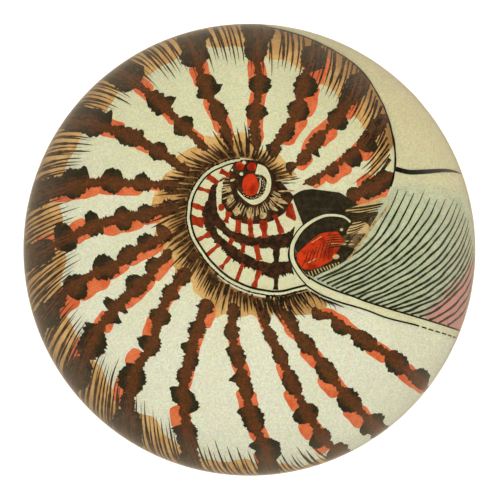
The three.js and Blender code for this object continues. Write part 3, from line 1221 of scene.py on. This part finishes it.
                def width(s: float, bar: Trail = bar, wide: float = wide, number: int = number) -> float:
                    """A bar that is waisted and a little uneven."""
                    u = abs(2 * s / bar.length - 1)
                    return wide * (0.95 + 0.15 * u ** 3 + 0.22 * wobble(s, number + 0.3, 0.8))
                layer.stroke(bar, width, -0.2, bar.length + 0.2, 0.12)
        red.patch(((6.3, 6.1), (7.2, 8.2), (8.1, 6.9), (8.1, 5.2), (7.6, 5.2)), 0.05)
        red.dot(-4.9, 7.4, 0.55, 0.65, 0.08)
        self.eye()

    def arm(self, layer: Layer, near: Sequence[Point], far: Sequence[Point], seed: float,
            ragged: tuple[float, float]) -> None:
        """Fills a stretch of ink between two lines, with uneven hatched edges.

        Args:
            layer: Where it is inked.
            near: The edge on the left of the way along it.
            far: The edge on the right.
            seed: What its unevenness grows from.
            ragged: How long the hatching's points are on each edge.
        """
        sides = []
        for points, out, depth in ((near, 1, ragged[0]), (far, -1, ragged[1])):
            trail = Trail(points)
            count = 220
            spots = [trail.length * k / count for k in range(count + 1)]
            sides.append([trail.point(s) + trail.normal(s) * out
                          * (0.12 * wobble(s, seed + out, 0.7) + depth * 1.6 * teeth(s, seed + out, 0.42))
                          for s in spots])
        layer.strip(*sides)

    def eye(self) -> None:
        """Draws the eye: petals, a cream crescent, the red spot and its stipple."""
        tan = self.layer("tan_marks", 0.162, Wash(
            name="tan_marks", light=Tone.TAN, deep=Tone.BROWN, pooling=0.9, size=0.9))
        for start, end, wide in TAN_MARKS:
            line = Trail((start, end))
            tan.stroke(line, lambda s, line=line, wide=wide: wide * hump(
                2.1 * s / line.length - 1.05) * (1 + 0.3 * wobble(s, wide, 0.5)) + 0.04, 0.0, None, 0.1)
        for k in range(40):
            turn = math.radians(166 + 4.6 * k + 4.0 * wobble(k, 1.0, 0.4))
            way = Vector((math.cos(turn), math.sin(turn)))
            near, far = 3.9 + 0.3 * wobble(k, 2.0, 0.6), 5.3 + 0.9 * wobble(k, 3.0, 0.5)
            tan.stroke(Trail((Vector((0.4, 11.3)) + way * near, Vector((0.2, 11.1)) + way * far)),
                       lambda s: 0.17 * hump(s - 0.9), 0.0, None, 0.2)
        cream = self.layer("cream_marks", 0.168, Wash(
            name="cream_marks", light=Tone.CREAM, deep=Tone.TAN, pooling=0.4, size=0.8))
        outer = Trail(((1.5, 15.0), (2.8, 14.4), (3.6, 13.0), (3.8, 11.5), (3.5, 10.0), (2.6, 8.7),
                       (1.2, 7.9),
                       (0.2, 8.0), (-1.0, 8.8), (-1.9, 9.8), (-2.1, 10.4)))
        inner = Trail(((1.0, 13.2), (2.2, 13.0), (3.0, 12.2), (2.9, 11.0), (2.5, 9.8), (1.5, 9.0), (0.3, 8.7),
                       (-0.9, 9.2), (-1.8, 10.1)))
        share = [k / 60 for k in range(61)]
        cream.strip([outer.part(f) for f in share], [inner.part(f) for f in share])
        cream.stroke(Trail(((1.9, 12.4), (1.85, 11.0), (1.4, 9.8))), lambda s: 0.16)
        for x, y, r in ((-0.9, 15.2, 0.35), (-1.4, 13.2, 0.3), (-5.0, 11.2, 0.4), (-3.0, 13.9, 0.2)):
            cream.dot(x, y, r, r, 0.06)
        cream.stroke(Trail(((-5.2, 8.0), (-5.35, 9.0), (-5.2, 9.9))), lambda s: 0.5 * hump(s - 0.95))
        cream.patch(((7.5, 8.4), (8.5, 7.6), (9.3, 6.4), (9.4, 5.5), (8.9, 4.4), (8.4, 4.7), (8.2, 6.2)),
                    0.05)
        for k in range(46):
            turn = math.radians(62 - 6.4 * (k % 34))
            far = 2.0 + 0.28 * (k // 34) + 0.35 * wobble(k, 4.0, 0.6)
            cream.dot(0.5 + far * math.cos(turn), 11.0 + far * math.sin(turn), 0.07)
        spot = self.layer("eye_spot", 0.180, Wash(
            name="eye_spot", light=Tone.VERMILION, deep=Tone.BLOOD, pooling=0.9, size=0.45))
        spot.dot(0.2, 11.25, 1.45, 1.95, 0.12)
        for x, y, r in ((-1.6, 14.6, 0.7), (0.5, 14.5, 0.78)):
            spot.dot(x, y, r, r, 0.1)

    def mouth(self) -> None:
        """Draws the mouth of the shell: the black lobe, the vermilion hollow and the pale lip."""
        shade = self.layer("mouth_shade", 0.184, LineInk(name="mouth_shade", light="#7d6848", dark="#3a2f1c"))
        shade.patch(((8.2, 2.2), (8.0, -0.8), (8.4, -2.2), (9.2, -3.4), (10.4, -4.6), (12.2, -3.9),
                     (14.4, -2.8),
                     (16.2, -1.7), (17.6, -0.6), (18.6, 0.6), (19.7, 1.9), (20.9, 3.7), (21.9, 5.4),
                     (22.5, 6.6), (20.8, 6.4), (18.0, 6.4), (15.5, 5.9), (12.4, 5.5), (10.2, 4.2)), 0.06, 0.7)
        black = self.layer("mouth_black", 0.186, LineInk(name="mouth_black", light="#38301f", dark="#231f13"))
        black.patch(((7.5, 9.2), (8.6, 10.1), (10.0, 10.5), (11.5, 10.5), (13.0, 10.2), (13.9, 9.8),
                     (15.0, 10.0), (16.4, 9.6), (15.3, 8.7), (15.9, 7.9), (16.5, 7.0), (17.0, 6.4),
                     (18.2, 6.4),
                     (19.8, 6.0), (21.6, 6.2), (20.4, 5.2), (18.2, 5.1), (16.4, 5.8), (13.5, 6.0),
                     (11.0, 5.0),
                     (9.3, 4.3), (9.8, 5.6), (9.8, 6.8), (9.1, 8.0), (8.0, 8.8)), 0.08, 0.7)
        black.patch(((8.1, 0.0), (8.2, 1.9), (9.2, 3.3), (10.6, 4.6), (12.6, 5.5), (15.0, 5.8), (17.0, 5.2),
                     (18.1, 4.6), (17.4, 3.8), (16.8, 2.6), (15.0, 1.9), (11.0, 0.6), (9.0, -0.6)), 0.06, 0.7)
        black.patch(((13.8, 0.7), (18.0, 0.3), (18.0, -0.5), (16.8, -1.7), (15.6, -2.0), (14.2, -2.9),
                     (11.0, -4.4), (9.6, -3.9), (8.4, -2.4), (8.2, -1.2), (11.0, -1.4)), 0.08, 0.6)
        bright = self.layer("mouth_red", 0.190, Wash(
            name="mouth_red", light=Tone.VERMILION, deep=Tone.BLOOD, pooling=0.8, size=0.6))
        bright.patch(((8.3, -0.9), (8.9, -0.2), (9.9, 0.6), (10.7, 1.5), (11.6, 2.2), (12.5, 2.8),
                      (13.8, 3.1),
                      (15.0, 3.1), (15.7, 2.8), (16.3, 1.9), (16.4, 1.4), (14.0, 1.2), (14.0, 0.5),
                      (13.7, -0.2),
                      (14.2, -0.9), (14.5, -1.6), (14.0, -2.1), (13.0, -2.6), (12.0, -3.1), (11.0, -3.4),
                      (10.0, -3.5), (9.2, -3.1), (8.6, -2.3), (8.3, -1.5)), 0.1, 0.8)
        self.layers["red_wash"].patch(((15.3, 8.7), (16.9, 9.2), (18.4, 8.9), (20.2, 8.9), (21.4, 8.7),
                                       (18.5, 7.2),
                                       (17.0, 6.7), (15.9, 7.1)), 0.08, 0.7)
        self.mouth_marks()
        cream = self.layer("lip_cream", 0.205, Wash(
            name="lip_cream", light=Tone.CREAM, deep=Tone.TAN, pooling=0.3, size=0.4))
        cream.stroke(Trail(self.lip), self.lip_width)
        cream.stroke(Trail(self.whorl), lambda s: 0.28 + 0.16 * min(1.0, s / 14) + 0.08 * wobble(s, 3.0, 1.5))

    def lip_width(self, s: float) -> float:
        """The width of the pale lip at a distance from its tip."""
        return 0.35 + 0.034 * min(s, 13.0) + 0.062 * min(11.0, max(0.0, s - 17.0))

    def mouth_marks(self) -> None:
        """Adds the mouth's highlights, the ochre by the lip's tip and the short hatching under the red."""
        pale = self.layer("mouth_pale", 0.194, Wash(
            name="mouth_pale", light=Tone.TAN, deep=Tone.OCHRE, pooling=0.7, size=0.9))
        pale.patch(((17.0, 2.8), (18.2, 4.8), (20.0, 4.8), (20.8, 4.2), (20.6, 3.0), (19.0, 2.8)), 0.08)
        pale.patch(((17.0, 6.6), (17.2, 7.1), (20.0, 7.7), (23.4, 9.3), (22.3, 7.6), (21.6, 6.6),
                   (19.6, 6.5)),
                   0.05)
        pale.dot(15.2, -1.2, 0.6, 0.4, 0.08)
        pale.dot(16.1, 3.5, 0.28)
        for (start, end, wide) in (((14.3, 1.0), (18.2, 0.95), 0.24), ((16.8, 1.5), (18.0, 1.5), 0.2),
                                   ((10.8, 1.2), (12.6, 2.3), 0.12), ((10.0, -2.4), (11.8, -1.5), 0.12)):
            pale.stroke(Trail((start, end)), lambda s, wide=wide: wide)
        for k in range(11):
            x, y = 10.3 + 0.52 * k, -3.85 + 0.17 * k
            tick = Trail(((x, y), (x + 0.35, y - 0.75 - 0.25 * wobble(k, 2.0, 0.7))))
            pale.stroke(tick, lambda s: 0.16, 0.0, None, 0.2)
        over = self.layer("mouth_hatch", 0.200, LineInk(name="mouth_hatch", light="#4a3d22", dark="#241f10"))
        for k in range(16):
            y = 7.1 - 0.5 * k
            left, right = 17.0 - 0.1 * k + (0.9 if k > 6 else 0.0), 23.4 - 0.44 * k
            line = Trail(((left, y), ((left + right) / 2, y + 0.35), (right, y + 0.95)))
            wide = 0.26 + 0.1 * wobble(k, 5.0, 0.8)
            over.stroke(line, lambda s, line=line, wide=wide: wide * hump(1.6 * s / line.length - 0.8),
                        0.0, None, 0.3)
        for k in range(7):
            fold = Trail(((9.2 + 0.75 * k, -2.9 + 0.2 * k), (9.9 + 0.7 * k, -1.6 + 0.4 * k),
                          (10.3 + 0.75 * k, -0.3 + 0.45 * k)))
            over.stroke(fold, lambda s, fold=fold: 0.16 * hump(1.7 * s / fold.length - 0.85), 0.0, None, 0.4)
        for k in range(6):
            crease = Trail(((13.4, 0.2 + 0.45 * k), (14.8, 0.5 + 0.42 * k), (16.4, 0.6 + 0.4 * k)))
            over.stroke(crease, lambda s, crease=crease: 0.2 * hump(1.6 * s / crease.length - 0.8),
                        0.0, None, 0.4)

    def lines(self) -> None:
        """Rules the outlines, the lip's edges, the whorl's shadow and the lining's hatching."""
        ink = self.layer("rule_ink", 0.212, LineInk(name="rule_ink", light="#2e2a1a", dark="#15140c"))
        ink.stroke(Trail(self.whorl).beside(0.42), lambda s: 0.26 + 0.14 * min(1.0, s / 25), 1.0, None, 0.3)
        ink.stroke(Trail(self.whorl).beside(-0.34), lambda s: 0.20 + 0.30 * teeth(s, 6.0, 0.7),
                   0.0, None, 0.1)
        edge = Trail(self.outline)
        ink.stroke(edge, lambda s: 0.34 + 0.14 * wobble(s, 1.0, 2.0), 3.0, edge.length - 19.5, 0.3)
        lip = Trail(self.lip)
        for side in (1, -1):
            border = Trail([lip.point(s) + lip.normal(s) * side * (self.lip_width(s) / 2 + 0.06)
                            for s in (0.3 + 1.1 * k for k in range(19))], 6)
            ink.stroke(border, lambda s: 0.14 + 0.1 * min(1.0, s / 10))
        top, low = Trail(self.lip_top), Trail(self.lip_low)
        ink.stroke(top, lambda s: 0.30, 0.0, None, 0.3)
        whole = 21.4
        ink.stroke(low, lambda s: 0.30, 0.0, whole, 0.3)
        for k in range(12):
            ink.stroke(low, lambda t: 0.26, whole + 0.5 + 1.3 * k, whole + 1.4 + 1.3 * k, 0.3)
        ink.stroke(Trail(((13.2, -8.7), (16.6, -10.1))), lambda s: 0.26 * hump(s / 1.9 - 0.97))
        ink.stroke(Trail(((6.9, 0.2), (6.8, -1.0), (7.0, -2.2))), lambda s: 0.2)
        stalk = Trail(((25.4, 14.2), (28.0, 13.6), (31.0, 13.7), (35.0, 14.0), (38.8, 13.7)))
        ink.stroke(stalk, lambda s: 0.75 * (1 - (s / stalk.length) ** 3) + 0.1, 0.0, None, 0.3)
        root = Trail(((3.2, -8.1), (6.0, -8.2), (8.6, -7.7), (10.4, -7.3), (12.4, -8.3), (14.2, -9.2)))
        for k in range(26):
            start = root.length * (k + 0.3 * wobble(k, 1.0, 0.6)) / 26
            long = 2.6 + 1.3 * wobble(k, 5.0, 0.8) - 0.05 * k
            a = root.point(start)
            tick = Trail((a, a + Vector((-0.10 + 0.028 * k, -0.5)) * long,
                          a + Vector((0.05 + 0.03 * k, -1.0)) * long))
            ink.stroke(tick, lambda s, tick=tick: 0.30 * (1 - s / tick.length) + 0.03, 0.0, None, 0.3)
        self.hatching()

    def hatching(self) -> None:
        """Rules the lining's waving lines, from the shell's edge across to the rose corner."""
        ink = self.layer("lining_ink", 0.170, LineInk(name="lining_ink", light="#46482e", dark="#26281a"))
        for (first, low), (last, high) in zip(LINING.items(), list(LINING.items())[1:]):
            for k in range(first, last + (last == max(LINING))):
                part = (k - first) / (last - first)
                line = Trail([Vector(a).lerp(Vector(b), part) for a, b in zip(low, high)])
                drift = Trail([line.part(q / 12) + line.normal(line.length * q / 12)
                               * 0.13 * wobble(q * 1.0, k + 0.4, 1.6) for q in range(13)], 6)

                def width(s: float, drift: Trail = drift, k: int = k) -> float:
                    """A waving line that thins out at its top."""
                    u = min(1.0, max(0.0, s / drift.length))
                    return (0.34 + 0.09 * wobble(s, k + 0.2, 1.4)) * (1 - u ** 6) + 0.05
                end = drift.length * (1 - 0.05 * (0.5 + wobble(k, 9.0, 0.6)))
                ink.stroke(drift, width, 0.0, end, 0.3)
        tan = self.layers["tan_marks"]
        edge = Trail(((24.5, 9.0), (23.9, 7.3), (23.0, 6.0), (22.1, 4.9), (21.0, 3.4), (20.2, 2.2),
                      (19.4, 1.1),
                      (18.4, -0.2), (17.6, -1.2), (16.9, -2.0)))
        tan.stroke(edge, lambda s: 0.45 * hump(2 * s / edge.length - 1) ** 0.4)

    def draw(self, sheet: bpy.types.Object, level: float) -> None:
        """Draws the whole shell on the sheet.

        Args:
            sheet: The paper.
            level: The height of its top face in metres.
        """
        for part in (self.washes, self.bands, self.whorls, self.mouth, self.combs, self.lines):
            part()
        for layer in self.layers.values():
            layer.build(sheet, level)


# -------------------------------------------------------------------------------------- sub-assemblies

def turned(profile: Sequence[Point], sides: int) -> bmesh.types.BMesh:
    """Turns a profile round the upright axis into a closed body.

    Args:
        profile: Points of radius and height in metres, from the axis below to the axis above.
        sides: How many sides the turning has.

    Returns:
        The body, with its faces pointing out.
    """
    mesh = bmesh.new()
    rings = []
    for radius, height in profile:
        if radius < 1e-9:
            rings.append([mesh.verts.new((0, 0, height))])
        else:
            rings.append([mesh.verts.new((radius * math.cos(k * math.tau / sides),
                                          radius * math.sin(k * math.tau / sides), height))
                          for k in range(sides)])
    for low, high in zip(rings, rings[1:]):
        for k in range(sides):
            n = (k + 1) % sides
            ring = [low[k % len(low)], low[n % len(low)], high[n % len(high)], high[k % len(high)]]
            mesh.faces.new(list(dict.fromkeys(ring)))
    bmesh.ops.recalc_face_normals(mesh, faces=mesh.faces)
    return mesh


@dataclass
class GlassDome:
    """The low clear dome with a narrow upright girdle and a polished bevel round its flat."""

    girdle: float = 0.9 * MM
    bevel: float = 0.5 * MM
    sides: int = 288
    steps: int = 110
    finish: ClearGlass = field(default_factory=ClearGlass)

    def build(self) -> bpy.types.Object:
        """Makes the dome where the frame has it.

        Returns:
            The dome.
        """
        low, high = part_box("glass_dome")
        radius = high.x
        spring = low.z + self.bevel + self.girdle
        rise = high.z - spring
        profile = [(0.0, low.z), (radius * 0.5, low.z), (radius - self.bevel * 1.15, low.z)]
        for k in range(1, 6):
            turn = math.pi / 2 * k / 5
            profile.append((radius - self.bevel + self.bevel * math.sin(turn),
                            low.z + self.bevel - self.bevel * math.cos(turn)))
        for k in range(self.steps + 1):
            turn = math.pi / 2 * k / self.steps
            reach = radius * math.cos(turn) if k < self.steps else 0.0
            profile.append((reach, spring + rise * math.sin(turn)))
        mesh = turned(profile, self.sides)
        dome = as_piece("dome_glass", mesh, self.finish.material())
        dome.data.shade_smooth()
        dome.data.set_sharp_from_angle(angle=math.radians(40))
        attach(dome, "root")
        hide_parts("glass_dome")
        return dome


@dataclass
class PrintedSheet:
    """The round paper print, bonded up against the glass."""

    bond: float = 0.04 * MM
    sides: int = 256
    shell: DrawnShell = field(default_factory=DrawnShell)

    def build(self) -> bpy.types.Object:
        """Makes the sheet and draws the shell on it.

        Returns:
            The sheet, with the drawing as its children.
        """
        low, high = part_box("printed_sheet")
        top = high.z + self.bond
        mesh = turned([(0.0, low.z), (high.x, low.z), (high.x, top), (0.0, top)], self.sides)
        flat = mesh.loops.layers.uv.new("OFBake")
        for face in mesh.faces:
            for loop in face.loops:
                loop[flat].uv = (loop.vert.co.x / (90 * MM) + 0.5, loop.vert.co.y / (90 * MM) + 0.5)
        sheet = as_piece("paper_sheet", mesh, Paper().material())
        self.shell.draw(sheet, top)
        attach(sheet, "root")
        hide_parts("printed_sheet")
        return sheet


@dataclass
class FeltPad:
    """The round felt pad under the sheet, with a soft fibrous edge."""

    edge_round: float = 0.45 * MM
    sides: int = 300
    fibres: int = 2600
    finish: WoolFelt = field(default_factory=WoolFelt)

    def build(self) -> bpy.types.Object:
        """Makes the pad and its loose edge fibres.

        Returns:
            The pad.
        """
        _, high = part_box("felt_pad")
        radius, height = high.x, high.z
        soft = self.edge_round
        profile = [(0.0, 0.0), *((radius * f, 0.0) for f in (0.2, 0.4, 0.6, 0.8, 0.93)), (radius - soft, 0.0)]
        profile += [(radius - soft + soft * math.sin(t), soft - soft * math.cos(t))
                    for t in (math.pi / 2 * k / 4 for k in range(1, 5))]
        profile += [(radius, height * 0.5), (radius, height - soft * 0.6),
                    (radius - soft * 0.3, height), (0.0, height)]
        mesh = turned(profile, self.sides)
        for vert in mesh.verts:
            far = math.hypot(vert.co.x, vert.co.y)
            if far > radius * 0.97 and 0.1 * MM < vert.co.z < height - 0.05 * MM:
                rough = 0.10 * MM * (perlin(vert.co * 900) - 0.6)
                vert.co.x += vert.co.x / far * rough
                vert.co.y += vert.co.y / far * rough
        pad = as_piece("felt_disc", mesh, self.finish.material())
        pad.data.shade_smooth()
        fuzz = self.fuzz(radius, height)
        fuzz.parent = pad
        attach(pad, "root")
        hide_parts("felt_pad")
        return pad

    def fuzz(self, radius: float, height: float) -> bpy.types.Object:
        """Makes the short loose fibres that stand off the cut edge.

        Args:
            radius: The pad's radius in metres.
            height: Its height in metres.

        Returns:
            The fibres, as one piece.
        """
        mesh = bmesh.new()
        for k in range(self.fibres):
            turn = math.tau * (k + 0.4 * wobble(k, 1.0, 0.37)) / self.fibres
            level = height * (0.5 + 0.42 * wobble(k, 2.0, 0.61))
            reach = (0.25 + 0.45 * abs(wobble(k, 3.0, 0.53))) * MM
            lean = 0.9 * MM * wobble(k, 4.0, 0.71)
            droop = 0.35 * MM * wobble(k, 5.0, 0.43)
            out = Vector((math.cos(turn), math.sin(turn), 0.0))
            side = Vector((-out.y, out.x, 0.0))
            base = out * (radius - 0.12 * MM) + Vector((0, 0, level))
            rows = []
            for q in range(4):
                t = q / 3
                spot = base + out * reach * math.sin(t * 1.4) + side * lean * t * t
                spot.z = min(height, max(0.05 * MM, spot.z + droop * t * t))
                half = 0.018 * MM * (1 - 0.75 * t)
                rows.append((mesh.verts.new(spot - Vector((0, 0, half))), mesh.verts.new(spot + side * half),
                             mesh.verts.new(spot + Vector((0, 0, half)))))
            for a, b in zip(rows, rows[1:]):
                for i in range(3):
                    n = (i + 1) % 3
                    mesh.faces.new((a[i], a[n], b[n], b[i]))
            mesh.faces.new(reversed(rows[0]))
            mesh.faces.new(rows[-1])
        bmesh.ops.recalc_face_normals(mesh, faces=mesh.faces)
        return as_piece("felt_fibres", mesh, self.finish.material())


@dataclass
class Studio:
    """The pale floor and backdrop, the soft light and the camera straight above, all in metres."""

    height: float = 0.700
    half_angle: float = 0.070624
    aside: Point = (0.00012, -0.00006)
    floor_half: float = 3.0
    wall_radius: float = 1.5
    wall_height: float = 4.0
    wall_middle: float = 1.9
    box_width: float = 2.4
    box_power: float = 62.0
    box_place: tuple[float, float, float] = (0.05, 0.10, 1.1)

    def build(self) -> None:
        """Makes the floor, the backdrop, the light and the camera."""
        self.floor()
        self.wall()
        self.light()
        self.camera()

    @staticmethod
    def staged(name: str, mesh: bmesh.types.BMesh, shader: Shader, level: float) -> bpy.types.Object:
        """Stands a surface in the studio that the glass doesn't mirror.

        Args:
            name: Its name.
            mesh: Its faces.
            shader: Its finish.
            level: The height of its middle.

        Returns:
            The surface.
        """
        data = bpy.data.meshes.new(name)
        mesh.to_mesh(data)
        mesh.free()
        data.materials.append(shader.material)
        surface = bpy.data.objects.new(name, data)
        surface.location = (0, 0, level)
        surface.visible_glossy = False
        bpy.context.scene.collection.objects.link(surface)
        return surface

    def floor(self) -> None:
        """Lays the pale floor."""
        mesh = bmesh.new()
        bmesh.ops.create_grid(mesh, x_segments=1, y_segments=1, size=self.floor_half)
        shader = Shader("pale_floor")
        shader.feed(shader.surface, "Base Color", (0.86, 0.86, 0.86, 1))
        shader.feed(shader.surface, "Roughness", 0.9)
        shader.feed(shader.surface, "Specular IOR Level", 0.0)
        self.staged("floor", mesh, shader, 0.0)

    def wall(self) -> None:
        """Stands a pale round backdrop far behind, which only the camera sees."""
        mesh = bmesh.new()
        bmesh.ops.create_cone(mesh, cap_ends=False, segments=96, radius1=self.wall_radius,
                              radius2=self.wall_radius, depth=self.wall_height)
        shader = Shader("pale_backdrop")
        shader.feed(shader.surface, "Base Color", (0, 0, 0, 1))
        shader.feed(shader.surface, "Emission Color", (1, 1, 1, 1))
        shader.feed(shader.surface, "Emission Strength", 1.0)
        backdrop = self.staged("backdrop", mesh, shader, self.wall_middle)
        backdrop.visible_diffuse = False
        backdrop.visible_transmission = False
        backdrop.visible_shadow = False

    def light(self) -> None:
        """Lights the studio with one wide overhead softbox and a dim room that the glass mirrors."""
        world = bpy.data.worlds.new("room")
        world.use_nodes = True
        nodes = Nodes(world.node_tree)
        way = nodes.node("ShaderNodeTexCoord").outputs["Generated"]
        x, y, z = nodes.axes(way)
        level = z.step(0.35, -0.25) * 0.62 + 0.06
        glow = (x * 0.92 + y * 0.39).step(0.35, 1.0) * z.step(0.5, 0.05) * 0.45
        hue = nodes.mix(z.step(0.3, -0.2), (1.0, 0.95, 0.84, 1), (1.0, 0.84, 0.62, 1))
        room = nodes.node("ShaderNodeBackground", None, Color=hue, Strength=level + glow)
        output = nodes.node("ShaderNodeOutputWorld")
        nodes.tree.links.new(room.outputs[0], output.inputs["Surface"])
        bpy.context.scene.world = world
        data = bpy.data.lights.new("softbox", "AREA")
        data.shape = "DISK"
        data.size = self.box_width
        data.energy = self.box_power
        data.color = (1.0, 0.97, 0.90)
        softbox = bpy.data.objects.new("softbox", data)
        softbox.location = self.box_place
        softbox.visible_glossy = False
        softbox.visible_camera = False
        bpy.context.scene.collection.objects.link(softbox)
        bpy.context.scene.view_settings.view_transform = "Standard"

    def camera(self) -> None:
        """Hangs the camera straight above, with the sheet's top up in the frame."""
        data = bpy.data.cameras.new("camera")
        data.sensor_width = 36.0
        data.lens = data.sensor_width / 2 / self.half_angle
        data.clip_start = 0.01
        camera = bpy.data.objects.new("camera", data)
        camera.location = (*self.aside, self.height)
        bpy.context.scene.collection.objects.link(camera)
        bpy.context.scene.camera = camera


def main() -> None:
    """Builds the paperweight from the pad up, then the studio round it."""
    logging.basicConfig(level=logging.INFO, format="%(name)s: %(message)s")
    Studio().build()
    FeltPad().build()
    PrintedSheet().build()
    GlassDome().build()


if __name__ == "__main__":
    main()
